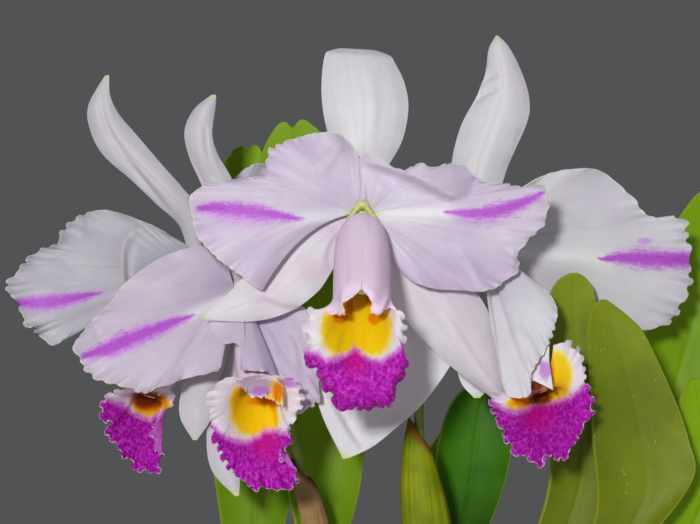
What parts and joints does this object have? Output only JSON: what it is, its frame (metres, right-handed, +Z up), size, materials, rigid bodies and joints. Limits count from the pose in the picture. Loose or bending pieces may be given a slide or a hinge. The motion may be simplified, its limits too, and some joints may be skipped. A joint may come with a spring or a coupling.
{
  "type": "cattleya orchid in a plain pot",
  "caption": "Flowering cattleya orchid in a plain clay pot: pale lilac blooms with purple and yellow ruffled lips over strap leaves and furrowed pseudobulbs.",
  "frame": {"origin": "centre of the pot's flat underside", "axes": "+Z up along the pot's axis; the blooms face -Y; +X to the right as the blooms are seen"},
  "size_m": [0.3591, 0.1971, 0.5362],
  "materials": {
    "clay": "matte fired clay",
    "bark": "rough chipped bark",
    "rhizome": "woody plant skin",
    "bulb": "satin furrowed plant skin",
    "leaf": "waxy leaf",
    "stem": "smooth green stem",
    "green_sheath": "papery green sheath",
    "dry_sheath": "dry papery sheath",
    "petals": "soft crystalline petal",
    "lip": "velvety petal",
    "column": "smooth waxy"
  },
  "bodies": {
    "root": {"pot": "clay", "bark": "bark", "rhizome": "rhizome", "pseudobulb_1": "bulb", "pseudobulb_2": "bulb", "pseudobulb_3": "bulb", "pseudobulb_4": "bulb", "pseudobulb_5": "bulb", "pseudobulb_6": "bulb", "pseudobulb_7": "bulb", "pseudobulb_8": "bulb", "leaf_1": "leaf", "leaf_2": "leaf", "leaf_3": "leaf", "leaf_4": "leaf", "leaf_5": "leaf", "leaf_6": "leaf", "leaf_7": "leaf", "leaf_8": "leaf", "flower_stem_1": "stem", "flower_stem_2": "stem", "sheath_1": "green_sheath", "sheath_2": "dry_sheath", "bloom_a_petals": "petals", "bloom_a_lip": "lip", "bloom_a_column": "column", "bloom_b_petals": "petals", "bloom_b_lip": "lip", "bloom_b_column": "column", "bloom_c_petals": "petals", "bloom_c_lip": "lip", "bloom_c_column": "column", "bloom_d_petals": "petals", "bloom_d_lip": "lip", "bloom_d_column": "column"}
  },
  "joints": []
}
